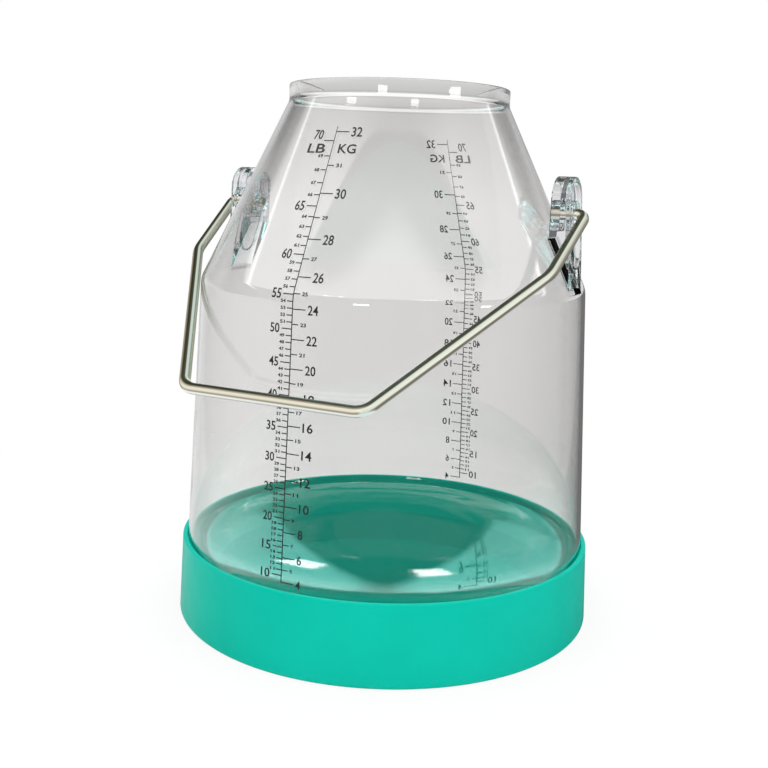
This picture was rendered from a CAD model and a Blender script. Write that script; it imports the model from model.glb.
from functools import lru_cache, reduce
from math import asin, atan, atan2, cos, degrees, pi, radians, sin, sqrt, tan

import bmesh
import bpy
from mathutils import Matrix, Vector

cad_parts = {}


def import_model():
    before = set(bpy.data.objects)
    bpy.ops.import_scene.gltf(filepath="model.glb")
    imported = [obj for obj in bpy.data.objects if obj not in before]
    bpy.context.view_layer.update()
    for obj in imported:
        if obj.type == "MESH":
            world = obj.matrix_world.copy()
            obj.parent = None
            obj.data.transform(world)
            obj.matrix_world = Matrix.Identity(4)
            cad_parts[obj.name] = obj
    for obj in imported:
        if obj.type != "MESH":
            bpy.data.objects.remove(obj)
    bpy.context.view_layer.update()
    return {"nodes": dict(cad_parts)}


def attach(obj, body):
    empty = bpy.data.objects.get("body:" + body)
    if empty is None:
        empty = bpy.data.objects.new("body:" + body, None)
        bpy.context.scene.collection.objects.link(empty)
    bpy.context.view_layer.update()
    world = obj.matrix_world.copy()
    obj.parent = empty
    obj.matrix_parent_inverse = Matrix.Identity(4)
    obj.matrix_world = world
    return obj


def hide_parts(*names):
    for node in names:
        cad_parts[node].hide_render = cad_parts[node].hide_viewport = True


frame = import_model()
nodes = frame["nodes"]
scene = bpy.context.scene
MM = 0.001

# ---------------------------------------------------------------- dimensions, mm
# mouth: a straight band around the top
total_h, mouth_r, band_h, band_t = 460.6, 93.3, 13.6, 4.3
# tapered wall below, cone above, rounded where they meet
shoulder_z, shoulder_r, draft, shoulder_round = 298.9, 167.0, radians(3.18), 25.0
# wall thickness; the shells meet at seam_z and overlap by a tongue
wall_t, seam_z, tongue_h = 3.0, 298.5, 5.0
# dished bottom, inner radii: a knuckle that ends at knuckle_z, and a large crown
knuckle_z, knuckle_r, crown_r = 75.7, 30.0, 441.2
# foot cup: outer radius at the ground and at the rim, web thickness, number of ribs
cup_h, cup_r0, cup_r1, web_t, rib_n = 69.4, 187.8, 184.3, 3.5, 12
# handle axis height; lug size along Y and inner face
pivot_z, lug_w, lug_in = 362.4, 17.0, 145.0
# handle corners: u across from the middle, v away from the axis; rest angle from hanging
rod_d, corner_u, side_u, side_v = 9.0, 169.6, 164.0, 77.3
grip_u, grip_v, rest_a = 78.0, 240.8, 55.0
# scales: milk density in kg per litre, range in kg, kilograms per pound
milk, kg_lo, kg_hi, LB = 1.03, 4, 32, 0.45359237

band_z = total_h - band_h
bore_r = mouth_r - band_t
cone_a = atan((shoulder_r - mouth_r) / (band_z - shoulder_z))
mid_a, half_a = (draft + cone_a) / 2, (cone_a - draft) / 2
cup_a = atan((cup_r0 - cup_r1) / cup_h)
# shoulder round: centre, and the heights where it meets the wall and the cone
round_cr = shoulder_r - shoulder_round * cos(mid_a) / cos(half_a)
round_cz = shoulder_z - shoulder_round * sin(mid_a) / cos(half_a)
round_z0 = round_cz + shoulder_round * sin(draft)
round_z1 = round_cz + shoulder_round * sin(cone_a)
# height of the inner corner between wall and cone, taken as sharp
inner_shoulder_z = shoulder_z - wall_t * sin(mid_a) / cos(half_a)


def wall_r(z):
    return shoulder_r + (shoulder_z - z) * tan(draft)


def cone_r(z):
    return shoulder_r - (z - shoulder_z) * tan(cone_a)


def inner_wall_r(z):
    return wall_r(z) - wall_t / cos(draft)


def inner_cone_r(z):
    return cone_r(z) - wall_t / cos(cone_a)


def cup_r(z):
    return cup_r0 - z * tan(cup_a)


def skin_r(z):
    """outer radius of the vessel at height z"""
    if z < round_z0:
        return wall_r(z)
    if z > round_z1:
        return cone_r(z)
    return round_cr + sqrt(shoulder_round**2 - (z - round_cz) ** 2)


def skin_tilt(z):
    """elevation of the outward normal at height z"""
    if z < round_z0:
        return draft
    if z > round_z1:
        return cone_a
    return asin((z - round_cz) / shoulder_round)


# ---------------------------------------------------------------- volume, mm3
# knuckle centre, crown centre height, and the direction of the joint between the two arcs
knuckle_cr = inner_wall_r(knuckle_z) - knuckle_r * cos(draft)
knuckle_cz = knuckle_z - knuckle_r * sin(draft)
crown_cz = knuckle_cz + sqrt((crown_r - knuckle_r) ** 2 - knuckle_cr**2)
joint_a = atan2(knuckle_cz - crown_cz, knuckle_cr)
cap_h = crown_r + crown_r * sin(joint_a)


def frustum(r0, r1, height):
    return pi * height * (r0 * r0 + r0 * r1 + r1 * r1) / 3


def knuckle_integral(a):
    """volume inside the knuckle arc up to angle a, divided by pi * knuckle_r"""
    return (
        knuckle_cr * knuckle_cr * sin(a)
        + 2 * knuckle_cr * knuckle_r * (a / 2 + sin(2 * a) / 4)
        + knuckle_r**2 * (sin(a) - sin(a) ** 3 / 3)
    )


knuckle_v = pi * knuckle_r * (knuckle_integral(draft) - knuckle_integral(joint_a))
dish_v = pi * cap_h**2 * (3 * crown_r - cap_h) / 3 + knuckle_v
foot_inner_r, shoulder_inner_r = inner_wall_r(knuckle_z), inner_wall_r(inner_shoulder_z)
wall_v = dish_v + frustum(foot_inner_r, shoulder_inner_r, inner_shoulder_z - knuckle_z)


def volume(z):
    """contents when filled to height z"""
    if z <= inner_shoulder_z:
        return dish_v + frustum(foot_inner_r, inner_wall_r(z), z - knuckle_z)
    return wall_v + frustum(inner_cone_r(inner_shoulder_z), inner_cone_r(z), z - inner_shoulder_z)


def kg_z(kg):
    """fill height for a mass of milk, by bisection"""
    target, low, high = kg / milk * 1e6, knuckle_z - 3, band_z - 4
    for _ in range(40):
        middle = (low + high) / 2
        low, high = (middle, high) if volume(middle) < target else (low, middle)
    return (low + high) / 2


# ---------------------------------------------------------------- shader node helpers
class Nodes:
    """builds the node tree of a material or world; values may be numbers or sockets"""

    def __init__(self, owner, output):
        owner.use_nodes = True
        self.owner = owner
        self.tree = owner.node_tree
        self.tree.nodes.clear()
        self.output = self.node(output)
        self.coords = self.node("TexCoord").outputs

    def put(self, socket, value):
        if hasattr(value, "is_output"):
            self.tree.links.new(value, socket)
        else:
            socket.default_value = value

    def node(self, kind, **inputs):
        made = self.tree.nodes.new("ShaderNode" + kind)
        for name, value in inputs.items():
            self.put(made.inputs[name.replace("_", " ")], value)
        return made

    def shader(self, kind, **inputs):
        return self.node(kind, **inputs).outputs[0]

    def math(self, op, a, b=0.0, c=0.0):
        made = self.node("Math")
        made.operation = op
        for socket, value in zip(made.inputs, (a, b, c)):
            self.put(socket, value)
        return made.outputs[0]

    def add(self, *values):
        return reduce(lambda a, b: self.math("ADD", a, b), values)

    def mul(self, *values):
        return reduce(lambda a, b: self.math("MULTIPLY", a, b), values)

    def sub(self, a, b):
        return self.math("SUBTRACT", a, b)

    def more(self, a, b):
        return self.math("GREATER_THAN", a, b)

    def less(self, a, b):
        return self.math("LESS_THAN", a, b)

    def size(self, a):
        return self.math("ABSOLUTE", a)

    def elevation(self, z):
        """degrees above the horizon of a unit vector with this z"""
        return self.mul(self.math("ARCSINE", z), 180 / pi)

    def heading(self, across, along):
        """angle in degrees, 0 along and positive to the across side"""
        return self.mul(self.math("ARCTAN2", across, along), 180 / pi)

    def vector_math(self, op, a, b):
        made = self.node("VectorMath")
        made.operation = op
        self.put(made.inputs[0], a)
        self.put(made.inputs[1], b)
        return made.outputs

    def dot(self, a, b):
        return self.vector_math("DOT_PRODUCT", a, tuple(b))["Value"]

    def xyz(self, vector):
        return self.node("SeparateXYZ", Vector=vector).outputs

    def radius(self, vector):
        """distance from the Z axis"""
        x, y, z = self.xyz(vector)
        return self.math("SQRT", self.add(self.mul(x, x), self.mul(y, y)))

    def noise(self, vector, scale=1.0, stretch=None, detail=3.0, rough=0.55, distort=0.0):
        if stretch:
            vector = self.vector_math("MULTIPLY", vector, stretch)[0]
        made = self.node("TexNoise", Vector=vector, Scale=scale, Detail=detail,
                         Roughness=rough, Distortion=distort)
        return made.outputs["Fac"]

    def remap(self, value, span, to=(0.0, 1.0), smooth=False):
        made = self.node("MapRange", Value=value, From_Min=span[0], From_Max=span[1],
                         To_Min=to[0], To_Max=to[1])
        made.interpolation_type = "SMOOTHSTEP" if smooth else "LINEAR"
        return made.outputs["Result"]

    def rise(self, value, span, top=1.0):
        """smooth step from 0 up to top"""
        return self.remap(value, span, (0.0, top), smooth=True)

    def fall(self, value, span, top=1.0):
        """smooth step from top down to 0"""
        return self.remap(value, span, (top, 0.0), smooth=True)

    def mix(self, factor, a, b):
        """colour mix"""
        made = self.node("Mix")
        made.data_type = "RGBA"
        self.put(made.inputs["Factor"], factor)
        for name, value in (("A", a), ("B", b)):
            self.put([s for s in made.inputs if s.name == name and s.type == "RGBA"][0], value)
        return [s for s in made.outputs if s.type == "RGBA"][0]

    def blend(self, factor, a, b):
        """shader mix"""
        made = self.node("MixShader")
        for socket, value in zip(made.inputs, (factor, a, b)):
            self.put(socket, value)
        return made.outputs[0]

    def bump(self, height, distance, strength=1.0):
        return self.shader("Bump", Strength=strength, Distance=distance, Height=height)

    def end(self, shader):
        self.tree.links.new(shader, self.output.inputs["Surface"])
        return self.owner


def material(name):
    return Nodes(bpy.data.materials.new(name), "OutputMaterial")


def rgb(r, g, b):
    return (r, g, b, 1.0)


WHITE = rgb(1, 1, 1)

# ---------------------------------------------------------------- clear materials
IOR = 1.585
TINT = (0.905, 0.897, 0.893)
LUG_TINT = (0.93, 0.93, 0.955)
# patch of cone under a lug, metres: |x| above, |y| below, height range
FOOT_X, FOOT_Y, FOOT_Z = 0.138, (lug_w - 0.5) * MM, (0.2985, 0.3432)
LUG_FACE_TOP = 0.3436  # top of the lug's face on the cone, metres


def clear_material(name, tint, wave, mask=None):
    """moulded clear polycarbonate with faint flow waves and fine wipe marks. Shadow and
    diffuse rays pass straight through. wave is the bump depth; mask marks a bonded face"""
    m = material(name)
    place = m.coords["Object"]
    big = m.noise(place, stretch=(14, 14, 6), detail=2.0, rough=0.4)
    fine = m.noise(place, stretch=(60, 60, 26), detail=2.0, rough=0.5)
    big_share, fine_share = 1.0, 0.12
    waves = m.add(m.mul(big, big_share), m.mul(fine, fine_share))
    wipe = m.noise(place, stretch=(45, 45, 300), detail=5.0, rough=0.65, distort=0.4)
    dirt = m.noise(place, scale=9.0, detail=4.0, rough=0.6)
    dirty = rgb(*[c * 0.985 for c in tint])
    plastic = m.shader(
        "BsdfPrincipled",
        Base_Color=m.mix(m.remap(dirt, span=(0.35, 0.7)), rgb(*tint), dirty),
        Roughness=m.remap(wipe, span=(0.45, 0.8), to=(0.006, 0.05)),
        IOR=IOR,
        Transmission_Weight=1.0,
        Normal=m.bump(waves, distance=wave),
    )
    see_through = m.shader("BsdfTransparent", Color=rgb(*[0.96 * c**0.5 for c in tint]))
    rays = m.node("LightPath").outputs
    passing = m.math("MAXIMUM", rays["Is Shadow Ray"], rays["Is Diffuse Ray"])
    surface = m.blend(passing, plastic, see_through)
    if mask:
        surface = m.blend(mask(m, place), surface, m.shader("BsdfTransparent"))
    return m.end(surface)


def cone_depth(m, place):
    """how far outside the cone's surface a point is, metres"""
    z = m.xyz(place)[2]
    drop = m.mul(m.sub(z, shoulder_z * MM), tan(cone_a))
    cone = m.sub(shoulder_r * MM, drop)
    return m.sub(m.radius(place), cone)


def foot_mask(m, place):
    """the patch of cone under a lug"""
    x, y, z = m.xyz(place)
    sides = m.mul(m.more(m.size(x), FOOT_X), m.less(m.size(y), FOOT_Y))
    heights = m.mul(m.more(z, FOOT_Z[0]), m.less(z, FOOT_Z[1]))
    near_surface = m.more(cone_depth(m, place), -0.001)
    return m.mul(sides, m.mul(heights, near_surface))


def lug_mask(m, place):
    """the lug's face on the cone"""
    z = m.xyz(place)[2]
    touching = m.less(cone_depth(m, place), 0.00025)
    return m.mul(touching, m.less(z, LUG_FACE_TOP))


def bond_material():
    m = material("clear_bond")
    specks = m.noise(m.coords["Object"], scale=240.0, detail=3.0)
    clean = m.remap(specks, span=(0.4, 0.7), to=(1.0, 0.93))
    color = m.mix(clean, rgb(0.9, 0.9, 0.92), WHITE)
    return m.end(m.shader("BsdfTransparent", Color=color))


# ---------------------------------------------------------------- green, steel and ink
def green_material():
    m = material("green_cup")
    place = m.coords["Object"]
    z = m.xyz(place)[2]
    cloud = m.noise(place, scale=11.0, detail=4.0, rough=0.6)
    color = m.mix(m.remap(cloud, span=(0.3, 0.7)), rgb(0.0, 0.485, 0.365), rgb(0.0, 0.54, 0.415))
    # scuffed foot edge
    grit = m.noise(place, stretch=(160, 160, 420), detail=5.0, rough=0.7)
    near_ground = m.remap(z, span=(0.0, 0.010), to=(1.0, 0.0))
    scuff = m.mul(near_ground, m.remap(grit, span=(0.5, 0.72), to=(0.0, 0.45)))
    color = m.mix(scuff, color, rgb(0.06, 0.58, 0.47))
    # surface relief
    spark = m.noise(place, scale=1400.0, detail=2.0, rough=0.6)
    wave = m.noise(place, stretch=(18, 18, 40), detail=3.0, rough=0.5)
    spark_share, wave_share = 0.05, 1.0
    relief = m.add(m.mul(spark, spark_share), m.mul(wave, wave_share))
    # the inside, behind the clear bottom, is deeper and softly lit through the plastic
    inner_radius, inner_floor = 0.1795, 0.001
    inner = m.mul(m.less(m.radius(place), inner_radius), m.more(z, inner_floor))
    deep = m.mix(cloud, rgb(0.0, 0.13, 0.09), rgb(0.0, 0.17, 0.12))
    specular, specular_loss, inner_glow = 0.1, 0.09, 0.68
    return m.end(m.shader(
        "BsdfPrincipled",
        Base_Color=m.mix(inner, color, deep),
        Roughness=m.remap(m.noise(place, scale=60.0, detail=4.0), span=(0.3, 0.7), to=(0.30, 0.42)),
        IOR=1.45,
        Normal=m.bump(relief, distance=0.00016),
        Specular_IOR_Level=m.sub(specular, m.mul(inner, specular_loss)),
        Emission_Color=rgb(0.0, 0.33, 0.245),
        Emission_Strength=m.mul(inner, inner_glow),
    ))


# tone of the bright bar: elevation of the normal in degrees, colour
STEEL_TONES = [
    (-90, (0.26, 0.26, 0.23)), (-60, (0.32, 0.33, 0.30)), (-44, (0.72, 0.74, 0.71)),
    (-32, (1.0, 1.0, 0.96)), (-21, (0.90, 0.90, 0.82)), (-14, (0.34, 0.33, 0.26)),
    (-2, (0.40, 0.375, 0.285)), (7, (0.92, 0.86, 0.71)), (20, (0.95, 0.89, 0.72)),
    (28, (0.78, 0.71, 0.52)), (34, (0.42, 0.38, 0.26)), (42, (0.12, 0.11, 0.06)),
    (50, (0.035, 0.032, 0.016)), (76, (0.05, 0.047, 0.03)), (90, (0.2, 0.19, 0.14)),
]


def steel_material():
    """drawn bright bar: metal overlaid with tones that follow the direction of the surface"""
    m = material("steel_rod")
    draw = m.noise(m.coords["UV"], stretch=(6, 900, 1), detail=4.0, rough=0.6)
    blot = m.noise(m.coords["Object"], scale=45.0, detail=4.0, rough=0.6)
    draw_share, blot_share = 0.6, 0.4
    wear = m.add(m.mul(draw, draw_share), m.mul(blot, blot_share))
    normal = m.bump(draw, distance=0.00002, strength=0.35)
    light, dark = rgb(0.70, 0.685, 0.63), rgb(0.60, 0.585, 0.53)
    metal = m.shader(
        "BsdfPrincipled",
        Base_Color=m.mix(m.remap(blot, span=(0.3, 0.7)), dark, light),
        Metallic=1.0,
        Roughness=m.remap(wear, span=(0.3, 0.7), to=(0.10, 0.22)),
        Normal=normal,
    )
    x, y, z = m.xyz(normal)
    jitter = m.remap(draw, span=(0.3, 0.7), to=(-2.5, 2.5))
    tilt = m.add(m.elevation(z), jitter)
    ramp = m.node("ValToRGB", Fac=m.remap(tilt, span=(-90.0, 90.0)))
    stops = ramp.color_ramp.elements
    while len(stops) < len(STEEL_TONES):
        stops.new(0.5)
    for stop, (angle, color) in zip(stops, STEEL_TONES):
        stop.position = (angle + 90) / 180
        stop.color = rgb(*color)
    # dark where it faces -X, a pale green-white shine part way to +X, dark again facing +X
    flank = m.rise(m.mul(x, -1.0), span=(0.30, 0.78))
    tone = m.mix(flank, ramp.outputs[0], rgb(0.085, 0.075, 0.035))
    shine = m.mul(m.rise(x, span=(0.25, 0.42)), m.fall(x, span=(0.6, 0.78)))
    shine_amount, tone_share = 0.8, 0.84
    tone = m.mix(m.mul(shine, shine_amount), tone, rgb(0.80, 0.92, 0.82))
    tone = m.mix(m.rise(x, span=(0.74, 0.9), top=0.8), tone, rgb(0.12, 0.125, 0.10))
    glow = m.shader("Emission", Color=tone, Strength=1.0)
    return m.end(m.blend(tone_share, metal, glow))


def ink_material():
    m = material("black_ink")
    grain = m.noise(m.coords["Object"], scale=900.0, detail=3.0, rough=0.6)
    shade = m.remap(grain, span=(0.35, 0.75))
    return m.end(m.shader(
        "BsdfPrincipled",
        Base_Color=m.mix(shade, rgb(0.008, 0.008, 0.009), rgb(0.03, 0.03, 0.032)),
        Roughness=m.remap(grain, span=(0.3, 0.7), to=(0.35, 0.55)),
        Normal=m.bump(grain, distance=0.00002, strength=0.3),
    ))


clear_lower = clear_material("clear_lower", TINT, wave=0.00010)
clear_upper = clear_material("clear_upper", TINT, wave=0.00010, mask=foot_mask)
clear_lug = clear_material("clear_lug", LUG_TINT, wave=0.00004, mask=lug_mask)
bond = bond_material()
green, steel, ink = green_material(), steel_material(), ink_material()

# ---------------------------------------------------------------- mesh helpers
BODY, BONDED = 0, 1  # material slots of the shells


def link_object(name, mesh):
    made = bpy.data.objects.new(name, mesh)
    scene.collection.objects.link(made)
    return made


def add_part(name, mesh, materials, body):
    part = link_object(name, mesh)
    for mat in materials:
        mesh.materials.append(mat)
    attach(part, body)
    return part


def to_mesh(name, bm):
    mesh = bpy.data.meshes.new(name)
    bm.to_mesh(mesh)
    bm.free()
    return mesh


def smooth(mesh, angle=30):
    for face in mesh.polygons:
        face.use_smooth = True
    mesh.set_sharp_from_angle(angle=radians(angle))


def face_outward(bm):
    bmesh.ops.recalc_face_normals(bm, faces=bm.faces)
    if bm.calc_volume(signed=True) < 0:
        bmesh.ops.reverse_faces(bm, faces=bm.faces)


def arc(centre_r, centre_z, radius, start, end, steps):
    angles = [start + (end - start) * i / steps for i in range(steps + 1)]
    return [(centre_r + radius * cos(a), centre_z + radius * sin(a)) for a in angles]


def between(start, end, steps):
    """the values that split start..end into equal steps, ends left out"""
    return [start + (end - start) * i / steps for i in range(1, steps)]


def body(points):
    return [(r, z, BODY) for r, z in points]


def corner_arc(before, corner, after, radius):
    """centre, start angle and sweep of the arc that rounds a corner"""
    corner = Vector(corner)
    back = (Vector(before) - corner).normalized()
    ahead = (Vector(after) - corner).normalized()
    turn = pi - back.angle(ahead)
    reach = radius * tan(turn / 2)
    centre = corner + (back + ahead).normalized() * (radius / cos(turn / 2))
    first, last = corner + back * reach, corner + ahead * reach
    start = atan2(first.y - centre.y, first.x - centre.x)
    end = atan2(last.y - centre.y, last.x - centre.x)
    return centre, start, (end - start + pi) % (2 * pi) - pi


def fillet(points, steps):
    """body profile through (r, z, corner radius) points; both ends have radius 0"""
    out = []
    for i, (r, z, radius) in enumerate(points):
        if radius <= 0:
            out.append((r, z))
            continue
        before, after = points[i - 1][:2], points[i + 1][:2]
        centre, start, sweep = corner_arc(before, (r, z), after, radius)
        out += arc(centre.x, centre.y, radius, start, start + sweep, steps)
    return body(out)


def lathe(name, profile, n=256):
    """closed profile of (r, z, slot) turned about Z; slot belongs to the edge that follows"""
    bm = bmesh.new()
    rings = []
    for r, z, _ in profile:
        if r < 1e-6:
            rings.append([bm.verts.new((0, 0, z * MM))])
            continue
        angles = [2 * pi * i / n for i in range(n)]
        rings.append([bm.verts.new((r * MM * cos(a), r * MM * sin(a), z * MM)) for a in angles])
    for i, (_, _, slot) in enumerate(profile):
        ring, after = rings[i], rings[(i + 1) % len(profile)]
        if len(ring) == 1 and len(after) == 1:
            continue
        for j in range(n):
            k = (j + 1) % n
            if len(ring) == 1:
                corners = (ring[0], after[k], after[j])
            elif len(after) == 1:
                corners = (ring[j], ring[k], after[0])
            else:
                corners = (ring[j], ring[k], after[k], after[j])
            bm.faces.new(corners).material_index = slot
    face_outward(bm)
    mesh = to_mesh(name, bm)
    smooth(mesh)
    return mesh


# ---------------------------------------------------------------- clear shells
# seam section from the outer skin inwards: step to mid wall, down the tongue, to the inner skin
seam_a = asin((seam_z - round_cz) / shoulder_round)
tongue_z = seam_z - tongue_h
seam = [
    (round_cr + shoulder_round * cos(seam_a), seam_z),
    (wall_r(seam_z) - wall_t / 2, seam_z),
    (wall_r(tongue_z) - wall_t / 2, tongue_z),
    (inner_wall_r(tongue_z), tongue_z),
]


def lower_profile():
    """from the bottom centre up the outside, across the seam and down the inside"""
    outer_knuckle = knuckle_r + wall_t
    wall_z = knuckle_cz + outer_knuckle * sin(draft)
    outside = arc(0, crown_cz, crown_r + wall_t, -pi / 2, joint_a, 48)[:-1]
    outside += arc(knuckle_cr, knuckle_cz, outer_knuckle, joint_a, draft, 20)
    outside += [(wall_r(z), z) for z in between(wall_z, round_z0, 12)]
    outside += arc(round_cr, round_cz, shoulder_round, draft, seam_a, 9)[:-1]
    inside = seam[3:]
    inside += [(inner_wall_r(z), z) for z in between(tongue_z, knuckle_z, 12)]
    inside += arc(knuckle_cr, knuckle_cz, knuckle_r, draft, joint_a, 20)
    inside += arc(0, crown_cz, crown_r, joint_a, -pi / 2, 48)[1:]
    return body(outside) + [(r, z, BONDED) for r, z in seam[:3]] + body(inside)


def upper_profile():
    """from the seam up the outside, over the mouth and down the inside"""
    inner_round = shoulder_round - wall_t
    outer_start = band_z - 12
    # where the bore meets the inner cone
    bore_z = shoulder_z + (shoulder_r - wall_t / cos(cone_a) - bore_r) / tan(cone_a)
    inner_start = bore_z - 14
    cone_zs = [z for z in between(round_z1, band_z - 2, 10) if z < outer_start]
    outside = arc(round_cr, round_cz, shoulder_round, seam_a, cone_a, 12)
    outside += [(cone_r(z), z) for z in cone_zs]
    mouth = fillet([
        (cone_r(outer_start), outer_start, 0),
        (mouth_r, band_z, 7.0),
        (mouth_r, total_h, 1.4),
        (bore_r, total_h, 0.9),
        (bore_r, bore_z, 10.0),
        (inner_cone_r(inner_start), inner_start, 0),
    ], steps=10)
    cone_end = round_cz + inner_round * sin(cone_a)
    inside = [(inner_cone_r(z), z) for z in between(inner_start, cone_end, 10)]
    inside += arc(round_cr, round_cz, inner_round, cone_a, draft, 20)
    return body(outside) + mouth + body(inside) + [(r, z, BONDED) for r, z in seam[:0:-1]]


for side, profile, clear in (
    ("lower", lower_profile(), clear_lower),
    ("upper", upper_profile(), clear_upper),
):
    name = side + "_shell_clear"
    shell = add_part(name, lathe(name, profile), [clear, bond], "bucket")
    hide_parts(side + "_shell")

# ---------------------------------------------------------------- lugs: moulded edges softened
for name in ("lug_right", "lug_left"):
    lug = nodes[name]
    lug.data.materials.clear()
    lug.data.materials.append(clear_lug)
    soft = lug.modifiers.new("soft", "REMESH")
    soft.mode = "VOXEL"
    soft.voxel_size = 0.0004
    soft.use_smooth_shade = True
    rounded = lug.modifiers.new("round", "SMOOTH")
    rounded.factor = 0.5
    rounded.iterations = 6

# ---------------------------------------------------------------- green foot cup
# The sloping shelf runs at 45 degrees under the knuckle. shelf_r, shelf_z is its touching
# point, shelf_out and shelf_in how far it runs from there, outwards and inwards.
knuckle_reach = (knuckle_r + wall_t + 0.1) * cos(radians(45))
shelf_r, shelf_z = knuckle_cr + knuckle_reach, knuckle_cz - knuckle_reach
shelf_out = (wall_r(shelf_z) + 0.15 - shelf_r) / (1 + tan(draft))
shelf_in = 12.0
shelf_r0, shelf_r1 = shelf_r - shelf_in, shelf_r + shelf_out
shelf_z0, shelf_z1 = shelf_z - shelf_in, shelf_z + shelf_out
# ribs in the channel under the shelf, clear of the ground
rib_low, rib_high, rib_half_t, rib_steps = 3.0, 32.0, 1.5, 8
rib_r0, rib_r1 = shelf_r0 - 0.6, cup_r(3) - 4.0


def cup_profile():
    # r, z, corner radius: under the floor, up the channel, down to the foot, up the outside,
    # over the rim and back along the shelf to the floor
    return fillet([
        (0, 0, 0),
        (shelf_r0, 0, 0.8),
        (shelf_r0, shelf_z0 - web_t, 0.8),
        (shelf_r1, shelf_z1 - 1.5 * web_t, 0.5),
        (cup_r(3) - 5.5, 0, 0.6),
        (cup_r(0), 0, 3.0),
        (cup_r(cup_h), cup_h, 1.0),
        (wall_r(cup_h) + 0.7, cup_h, 0.3),
        (wall_r(cup_h - 3) + 0.15, cup_h - 3, 0.4),
        (shelf_r1, shelf_z1, 0.6),
        (shelf_r0 - web_t, shelf_z0 - web_t, 1.0),
        (shelf_r0 - web_t, web_t, 1.2),
        (0, web_t, 0),
    ], steps=6)


def rib_top(r):
    """a little inside the shelf, and never above rib_high"""
    shelf_run = shelf_out + shelf_in
    under = shelf_z0 - web_t + (r - shelf_r0) * (shelf_run - 0.5 * web_t) / shelf_run
    return max(rib_low + 1.0, min(under + 0.8, rib_high))


def add_ribs(mesh):
    bm = bmesh.new()
    bm.from_mesh(mesh)
    radii = [rib_r0 + (rib_r1 - rib_r0) * j / rib_steps for j in range(rib_steps + 1)]
    outline = [(r, rib_low) for r in radii] + [(r, rib_top(r)) for r in reversed(radii)]
    count = len(outline)
    for i in range(rib_n):
        a = 2 * pi * (i + 0.5) / rib_n
        near, far = [
            [
                bm.verts.new(((r * cos(a) - t * sin(a)) * MM, (r * sin(a) + t * cos(a)) * MM, z * MM))
                for r, z in outline
            ]
            for t in (-rib_half_t, rib_half_t)
        ]
        bm.faces.new(list(reversed(near)))
        bm.faces.new(far)
        for j in range(count):
            k = (j + 1) % count
            bm.faces.new((near[j], near[k], far[k], far[j]))
    bm.to_mesh(mesh)
    bm.free()
    smooth(mesh)


cup_mesh = lathe("foot_cup", cup_profile())
add_ribs(cup_mesh)
cup = add_part("foot_cup", cup_mesh, [green], "bucket")
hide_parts("base_cup")

# ---------------------------------------------------------------- handle: swept bar
# right half, from the end inside the lug to the grip: u, v, corner radius
HANDLE_HALF = [
    (lug_in - 3.5, 0.0, 0),
    (corner_u, 0.0, 7),
    (side_u, side_v, 30),
    (grip_u, grip_v, 15),
]
ROD_SIDES = 40
ROD_CHAMFER = ((1.0, 1.0), (0.35, 0.3))  # beyond the end, taken off the radius
ROD_UV_WIDTH = 0.0283  # UV distance once around the bar


def handle_path():
    corners = [(-u, v, radius) for u, v, radius in HANDLE_HALF] + HANDLE_HALF[::-1]
    path = []
    for i, (u, v, radius) in enumerate(corners):
        if radius == 0:
            path.append(Vector((u, v)))
            continue
        before, after = corners[i - 1][:2], corners[i + 1][:2]
        centre, start, sweep = corner_arc(before, (u, v), after, radius)
        steps = max(8, int(abs(degrees(sweep)) / 3))
        angles = [start + sweep * j / steps for j in range(steps + 1)]
        path += [centre + radius * Vector((cos(a), sin(a))) for a in angles]
    # even spacing on the straights
    dense = [path[0]]
    for a, b in zip(path, path[1:]):
        steps = max(1, int((b - a).length / 8))
        dense += [a + (b - a) * j / steps for j in range(1, steps + 1)]
    return dense


def handle_stations(path):
    """(point, direction, bar radius, distance along) with small chamfers at both ends"""
    rod_r = rod_d / 2
    last = len(path) - 1
    run = 0.0
    stations = []
    for i, point in enumerate(path):
        along = (path[min(last, i + 1)] - path[max(0, i - 1)]).normalized()
        if i:
            run += (point - path[i - 1]).length
        if i == 0:
            for out, cut in ROD_CHAMFER:
                stations.append((point - along * out, along, rod_r - cut, run - out))
        stations.append((point, along, rod_r, run))
        if i == last:
            for out, cut in reversed(ROD_CHAMFER):
                stations.append((point + along * out, along, rod_r - cut, run + out))
    return stations


def handle_mesh():
    n = ROD_SIDES
    lean = radians(270 - rest_a)
    bm = bmesh.new()
    uv_layer = bm.loops.layers.uv.new("UVMap")

    def ring(point, along, radius):
        """circle around the path, leaned about the handle axis"""
        normal = Vector((-along.y, along.x))
        verts = []
        for j in range(n):
            a = 2 * pi * j / n
            x, v = point + normal * (radius * cos(a))
            w = radius * sin(a)
            y = v * cos(lean) - w * sin(lean)
            z = v * sin(lean) + w * cos(lean) + pivot_z
            verts.append(bm.verts.new((x * MM, y * MM, z * MM)))
        return verts

    stations = handle_stations(handle_path())
    rings = [ring(point, along, radius) for point, along, radius, _ in stations]
    for i in range(len(rings) - 1):
        this, after = rings[i], rings[i + 1]
        for j in range(n):
            k = (j + 1) % n
            face = bm.faces.new((this[j], this[k], after[k], after[j]))
            places = ((i, j), (i, j + 1), (i + 1, j + 1), (i + 1, j))
            for loop, (station, step) in zip(face.loops, places):
                loop[uv_layer].uv = (stations[station][3] * MM, step / n * ROD_UV_WIDTH)
    bm.faces.new(rings[0])
    bm.faces.new(list(reversed(rings[-1])))
    face_outward(bm)
    mesh = to_mesh("handle_bar", bm)
    smooth(mesh, 40)
    return mesh


bar = add_part("handle_bar", handle_mesh(), [steel], "handle")
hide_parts("handle")

# ---------------------------------------------------------------- printed scales
for name in ("scale_front_kg", "scale_front_lb", "scale_rear_kg", "scale_rear_lb"):
    nodes[name].data.materials.clear()
    nodes[name].data.materials.append(ink)

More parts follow.
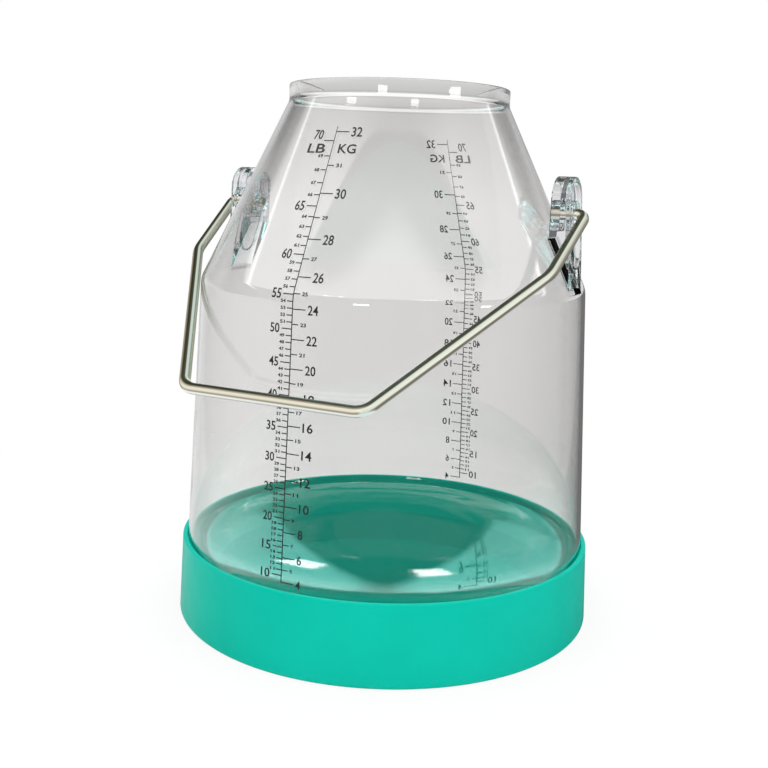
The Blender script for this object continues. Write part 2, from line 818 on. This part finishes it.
INK_GAP, INK_T = 0.02, 0.15  # space under the print, thickness of the print
BEND_STEP = 1.2  # letters are cut this often so that they bend with the skin
# cap height; width per digit less a gap; start, from the upright line, positive towards +X
KG_LARGE = dict(height=7.3, pitch=4.5, gap=0.5, start=13.0)
KG_SMALL = dict(height=2.9, pitch=2.5, gap=0.3, start=7.3, bold=True)
LB_LARGE = dict(height=7.3, pitch=4.5, gap=0.5, start=-11.0)
LB_SMALL = dict(height=2.6, pitch=2.35, gap=0.3, start=-6.3, bold=True)
title_z = kg_z(69.5 * LB)


@lru_cache(maxsize=None)
def flat_text(text, bold):
    """text as a flat bmesh with cap height 1, and its width"""
    curve = bpy.data.curves.new("t", "FONT")
    curve.body = text
    curve.size = 1.0
    curve.resolution_u = 3
    curve.offset = 0.03 if bold else 0.014
    holder = link_object("t", curve)
    depsgraph = bpy.context.evaluated_depsgraph_get()
    mesh = bpy.data.meshes.new_from_object(holder.evaluated_get(depsgraph))
    bpy.data.objects.remove(holder)
    bpy.data.curves.remove(curve)
    bm = bmesh.new()
    bm.from_mesh(mesh)
    bpy.data.meshes.remove(mesh)
    bmesh.ops.remove_doubles(bm, verts=bm.verts, dist=1e-5)
    xs = [v.co.x for v in bm.verts]
    ys = [v.co.y for v in bm.verts]
    x0, y0 = min(xs), min(ys)
    scale = 1.0 / (max(ys) - y0)
    for v in bm.verts:
        v.co = Vector(((v.co.x - x0) * scale, (v.co.y - y0) * scale, 0))
    return bm, (max(xs) - x0) * scale


def label(target, text, height, width, start, mid_z, bold=False):
    """prints text on the skin, centred on height mid_z. A positive start is the text's
    near end on the +X side of the upright line, a negative one its near end on the -X side"""
    flat, flat_width = flat_text(text, bold)
    bm = flat.copy()
    stretch = width / flat_width
    for v in bm.verts:
        v.co = Vector((v.co.x * stretch, v.co.y * height, 0))
    for axis, size in ((0, width), (1, height)):
        for i in range(1, int(size / BEND_STEP) + 1):
            place, normal = [0, 0, 0], [0, 0, 0]
            place[axis], normal[axis] = i * BEND_STEP, 1
            geom = list(bm.verts) + list(bm.edges) + list(bm.faces)
            bmesh.ops.bisect_plane(bm, geom=geom, plane_co=place, plane_no=normal, dist=1e-6)
    bm.verts.ensure_lookup_table()
    left = start if start > 0 else start - width
    front, back = {}, {}
    for v in bm.verts:
        z = mid_z - height / 2 + v.co.y
        skin, tilt = skin_r(z), skin_tilt(z)
        a = -pi / 2 + (left + v.co.x) / skin_r(mid_z)
        for lift, layer in ((INK_GAP, back), (INK_GAP + INK_T, front)):
            r, lifted_z = skin + lift * cos(tilt), z + lift * sin(tilt)
            layer[v.index] = target.verts.new((r * cos(a) * MM, r * sin(a) * MM, lifted_z * MM))
    for face in bm.faces:
        ids = [v.index for v in face.verts]
        target.faces.new([front[i] for i in ids])
        target.faces.new([back[i] for i in reversed(ids)])
    for edge in bm.edges:
        if len(edge.link_faces) == 1:
            a, b = edge.verts[0].index, edge.verts[1].index
            target.faces.new((front[a], front[b], back[b], back[a]))
    bm.free()


def number(target, value, mid_z, height, pitch, gap, start, bold=False):
    text = str(value)
    label(target, text, height, pitch * len(text) - gap, start, mid_z, bold)


def kg_numbers(bm):
    for kg in range(kg_lo, kg_hi + 1):
        number(bm, kg, kg_z(kg), **(KG_SMALL if kg % 2 else KG_LARGE))
    label(bm, "KG", height=7.0, width=14.5, start=5.5, mid_z=title_z)


def lb_numbers(bm):
    for lb in range(int(kg_lo / LB) + 2, int(kg_hi / LB) + 1):
        lift = 4.5 if lb == 70 else 0  # the top number is set higher
        number(bm, lb, kg_z(lb * LB) + lift, **(LB_SMALL if lb % 5 else LB_LARGE))
    label(bm, "LB", height=7.0, width=16.5, start=-6.0, mid_z=title_z)


for unit, draw_numbers in (("kg", kg_numbers), ("lb", lb_numbers)):
    bm = bmesh.new()
    draw_numbers(bm)
    bmesh.ops.recalc_face_normals(bm, faces=bm.faces)
    mesh = to_mesh("scale_numbers_" + unit, bm)
    add_part("scale_front_numbers_" + unit, mesh, [ink], "bucket")
    # the copy already carries the ink
    rear = mesh.copy()
    rear.transform(Matrix.Rotation(pi, 4, "Z"))
    add_part("scale_rear_numbers_" + unit, rear, [], "bucket")

# ---------------------------------------------------------------- stage floor
PHI = radians(26.35)  # turn of the view about Z
to_camera = Vector((sin(PHI), -cos(PHI), 0))
to_right = Vector((cos(PHI), sin(PHI), 0))

FLOOR_RADII = [0, 0.12, 0.25, 0.4, 0.6, 0.9, 1.4, 2.2, 4.0, 8.0, 16.0]  # metres
# floor brightness in reflections: everywhere, added on the left, added on the right
DIM, DIM_LEFT, DIM_RIGHT = 0.05, 0.75, 0.12
CAMERA_GLOW = 0.85  # least share of plain white when the camera sees the floor directly


def floor_material():
    m = material("stage_floor")
    place = m.coords["Object"]
    rays = m.node("LightPath").outputs
    grain = m.noise(place, scale=30.0, detail=3.0)
    matt = m.shader("BsdfDiffuse", Color=m.mix(grain, rgb(0.86, 0.86, 0.86), rgb(0.9, 0.9, 0.9)))
    # seen through the clear walls it falls off a little to the right
    incoming = m.node("NewGeometry").outputs["Incoming"]
    side = m.heading(m.mul(m.dot(incoming, to_right), -1.0), m.dot(incoming, to_camera))
    loss = m.mul(m.remap(side, span=(2.0, 10.0), to=(0.0, 0.16)), m.fall(side, span=(20.0, 50.0)))
    seen = m.mul(m.more(rays["Transmission Depth"], 0.5), m.less(rays["Diffuse Depth"], 0.5))
    strength = m.remap(seen, span=(0.0, 1.0), to=(1.0, m.sub(1.0, loss)))
    glow = m.shader("Emission", Color=WHITE, Strength=strength)
    far = m.rise(m.radius(place), span=(0.2, 0.7))
    far = m.math("MAXIMUM", far, m.mul(rays["Is Camera Ray"], CAMERA_GLOW))
    lit = m.blend(far, matt, glow)
    # mirrored in the clear walls the floor stays dim
    around = m.heading(m.dot(place, to_right), m.dot(place, to_camera))
    left = m.fall(around, span=(-85.0, -30.0), top=DIM_LEFT)
    right = m.rise(around, span=(45.0, 95.0), top=DIM_RIGHT)
    dim = m.shader("Emission", Color=WHITE, Strength=m.add(DIM, m.add(left, right)))
    mirrored = m.mul(m.more(rays["Glossy Depth"], 0.5), m.less(rays["Diffuse Depth"], 0.5))
    return m.end(m.blend(mirrored, lit, dim))


def stage_floor():
    bm = bmesh.new()
    n = 96
    inner = [bm.verts.new((0, 0, 0))]
    for r in FLOOR_RADII[1:]:
        angles = [2 * pi * i / n for i in range(n)]
        outer = [bm.verts.new((r * cos(a), r * sin(a), 0)) for a in angles]
        for i in range(n):
            j = (i + 1) % n
            if len(inner) == 1:
                bm.faces.new((inner[0], outer[i], outer[j]))
            else:
                bm.faces.new((inner[i], outer[i], outer[j], inner[j]))
        inner = outer
    mesh = to_mesh("stage_floor", bm)
    mesh.materials.append(floor_material())
    link_object("stage_floor", mesh)


stage_floor()

# ---------------------------------------------------------------- world
# Angles are in degrees. Elevation is above the horizon, azimuth 0 towards the camera and
# positive to the right; "behind" is azimuth 0 away from the camera, positive to the right.
AMBIENT, BAND, EDGE, STRIPS, WINDOWS, OPENINGS = 0.04, 1.35, 1.9, 16.0, 7.0, 6.0
BACK_COLOR, OVERHEAD_COLOR = (0.6, 1.8, 1.68), (0.36, 0.345, 0.30)


def front_band(m, el, az, off):
    """a wide soft band above the camera; above a low arch it is brighter to the sides"""
    low = m.add(24.5, m.mul(m.fall(off, span=(0.0, 45.0)), 3.8))
    high = m.sub(50.0, m.mul(m.rise(off, span=(0.0, 80.0)), 12.0))
    band = m.mul(
        m.rise(m.sub(el, low), span=(-0.4, 0.8)),
        m.fall(m.sub(el, high), span=(-1.0, 2.5)),
        m.fall(off, span=(112.0, 124.0)),
    )
    # the arch sinks from 55.6 with the distance from the middle, down to 36
    sunk = m.sub(m.sub(55.6, m.mul(off, 0.02)), m.mul(m.math("POWER", off, 3.0), 4.6e-5))
    above = m.mul(
        m.rise(m.sub(el, m.math("MAXIMUM", sunk, 36.0)), span=(-0.35, 0.35)),
        m.fall(el, span=(62.0, 70.0)),
        m.fall(off, span=(104.0, 112.0)),
    )
    side = m.mul(
        m.remap(off, span=(15.0, 60.0), to=(0.65, 1.5)),
        m.remap(az, span=(-20.0, 40.0), to=(1.0, 0.75)),
    )
    return m.add(m.mul(band, BAND, m.sub(1.0, above)), m.mul(above, side))


def band_edges(m, el, az):
    """narrow slanting bright edges on the left and right"""
    left = m.add(az, m.add(58.5, m.mul(el, 1.66)))
    right = m.sub(az, m.add(76.5, m.mul(el, 1.27)))
    heights = m.mul(m.rise(el, span=(17.0, 21.0)), m.fall(el, span=(37.0, 41.0)))
    return m.mul(m.add(*[m.fall(m.size(e), span=(0.8, 3.4)) for e in (left, right)]), heights)


def patch(m, el, az, az_span, el_span, soft=0.3):
    """a bright rectangle with soft edges"""
    gates = []
    for value, (low, high), blur in ((az, az_span, soft), (el, el_span, soft / 3)):
        gates.append(m.rise(value, span=(low - blur, low + blur)))
        gates.append(m.fall(value, span=(high - blur, high + blur)))
    return m.mul(*gates)


def back_fields(m, el, behind, mirrored, deep):
    """two pale fields behind, either side of a dark wedge that widens upwards"""
    off_back = m.size(behind)
    height = m.math("MAXIMUM", m.sub(el, 15.0), 0.0)
    wedge = m.mul(m.math("POWER", height, 2.0), 0.0145)
    return m.mul(
        m.rise(m.sub(off_back, wedge), span=(-0.3, 0.9)),
        m.fall(off_back, span=(75.0, 100.0)),
        m.rise(m.sub(el, 12.5), span=(-1.5, 1.5)),
        m.fall(el, span=(44.0, 50.0)),
        mirrored,
        deep,
    )


def back_openings(m, el, behind, mirrored):
    """two small bright openings behind, either side of azimuth 0.7"""

    def from_middle():
        return m.size(m.sub(behind, 0.7))

    return m.mul(
        mirrored,
        m.rise(from_middle(), span=(2.1, 2.4)),
        m.fall(from_middle(), span=(3.5, 3.8)),
        m.rise(el, span=(23.6, 24.4)),
        m.fall(el, span=(27.6, 28.4)),
    )


def world():
    studio = bpy.data.worlds.new("studio")
    scene.world = studio
    m = Nodes(studio, "OutputWorld")
    direction = m.coords["Generated"]
    ahead, across = m.dot(direction, to_camera), m.dot(direction, to_right)
    el = m.elevation(m.xyz(direction)[2])
    az = m.heading(across, ahead)
    behind = m.heading(across, m.mul(ahead, -1.0))
    off = m.size(az)
    rays = m.node("LightPath").outputs
    mirrored = m.more(rays["Glossy Depth"], 0.5)
    depth = rays["Transmission Depth"]
    deep = m.mul(m.more(depth, 3.5), m.less(depth, 6.5))
    # pale sweep behind, near the horizon
    sweep = m.mul(m.rise(off, span=(108.0, 128.0)), m.fall(el, span=(13.0, 22.0)))
    sweep = m.mul(
        sweep,
        m.remap(el, span=(-1.0, 6.0), to=(0.95, 0.57)),
        m.remap(behind, span=(2.0, 10.0), to=(1.0, 0.84)),
    )
    # extra light for rays that have not been mirrored, behind and in front
    rear_fill = m.mul(
        m.sub(1.0, mirrored),
        m.rise(off, span=(100.0, 125.0)),
        m.rise(el, span=(8.0, 14.0)),
        m.fall(el, span=(42.0, 55.0), top=0.6),
    )
    front_fill = m.mul(
        m.sub(1.0, mirrored),
        m.less(rays["Diffuse Depth"], 0.5),
        m.fall(off, span=(108.0, 128.0)),
        m.fall(el, span=(15.0, 30.0), top=0.9),
    )
    strips = m.add(
        patch(m, el, az, az_span=(-42.5, -29.5), el_span=(26.7, 27.3)),
        patch(m, el, az, az_span=(13.5, 26.5), el_span=(26.9, 27.5)),
    )
    windows = m.add(
        patch(m, el, az, az_span=(-22.0, -13.0), el_span=(2.0, 8.0)),
        patch(m, el, az, az_span=(51.5, 63.5), el_span=(2.0, 8.0)),
    )
    grey = m.add(
        front_band(m, el, az, off),
        m.mul(band_edges(m, el, az), EDGE),
        sweep,
        AMBIENT,
        m.mul(strips, STRIPS),
        m.mul(windows, WINDOWS),
        m.mul(back_openings(m, el, behind, mirrored), OPENINGS),
        rear_fill,
        front_fill,
    )
    back = back_fields(m, el, behind, mirrored, deep)
    overhead = m.mul(m.rise(el, span=(52.0, 60.0)), m.sub(1.0, m.mul(mirrored, deep)))
    red, green_part, blue = [
        m.add(grey, m.mul(overhead, over_share), m.mul(back, back_share))
        for over_share, back_share in zip(OVERHEAD_COLOR, BACK_COLOR)
    ]
    color = m.shader("CombineXYZ", X=red, Y=green_part, Z=blue)
    seen = m.mix(rays["Is Camera Ray"], color, WHITE)
    m.end(m.shader("Background", Color=seen, Strength=1.0))


world()


# ---------------------------------------------------------------- fill lights, metres
def fill_light(name, place, width, height, power):
    """soft light on the bucket that is never seen itself"""
    light = bpy.data.lights.new(name, "AREA")
    light.shape = "RECTANGLE"
    light.size, light.size_y, light.energy = width, height, power
    lamp = link_object(name, light)
    lamp.location = place
    lamp.rotation_euler = (Vector((0, 0, 0.22)) - place).to_track_quat("-Z", "Y").to_euler()
    lamp.visible_camera = False
    lamp.visible_glossy = False
    lamp.visible_transmission = False


fill_light("fill_top", Vector((0, 0, 2.4)), width=2.0, height=2.0, power=30)
fill_light("fill_front", to_camera * 2.2 + Vector((0, 0, 0.9)), width=1.6, height=0.9, power=10)

# ---------------------------------------------------------------- camera
CAMERA_DIST, CAMERA_Z = 931.63, 382.93  # mm
PITCH, YAW, ROLL = 0.2289, -0.0005, 0.0348  # radians: tilt down, turn, roll
LENS, SENSOR = 49.22484375, 36.0  # mm
SHIFT_X, SHIFT_Y = -0.00494791667, 0.0555598958  # shares of the picture width


def turned(v):
    """v turned about Z by PHI"""
    return Vector((v[0] * cos(PHI) - v[1] * sin(PHI), v[0] * sin(PHI) + v[1] * cos(PHI), v[2]))


def add_camera():
    forward = Vector((sin(YAW) * cos(PITCH), cos(YAW) * cos(PITCH), -sin(PITCH)))
    level = Vector((cos(YAW), -sin(YAW), 0))
    upright = level.cross(forward)
    right = cos(ROLL) * level + sin(ROLL) * upright
    up = -sin(ROLL) * level + cos(ROLL) * upright
    data = bpy.data.cameras.new("camera")
    data.sensor_width = SENSOR
    data.lens = LENS
    data.shift_x, data.shift_y = SHIFT_X, SHIFT_Y
    data.clip_start, data.clip_end = 0.02, 60.0
    camera = link_object("camera", data)
    pose = Matrix((turned(right), turned(up), turned(-forward))).transposed().to_4x4()
    pose.translation = turned(Vector((0, -CAMERA_DIST, CAMERA_Z))) * MM
    camera.matrix_world = pose
    scene.camera = camera


add_camera()

# ---------------------------------------------------------------- render settings
scene.view_settings.view_transform = "Standard"
scene.view_settings.look = "None"
cycles = scene.cycles
cycles.max_bounces, cycles.transmission_bounces, cycles.glossy_bounces = 32, 28, 12
cycles.diffuse_bounces, cycles.transparent_max_bounces = 4, 48
cycles.caustics_reflective = True
cycles.caustics_refractive = True
cycles.sample_clamp_indirect = 6.0
cycles.use_denoising = True
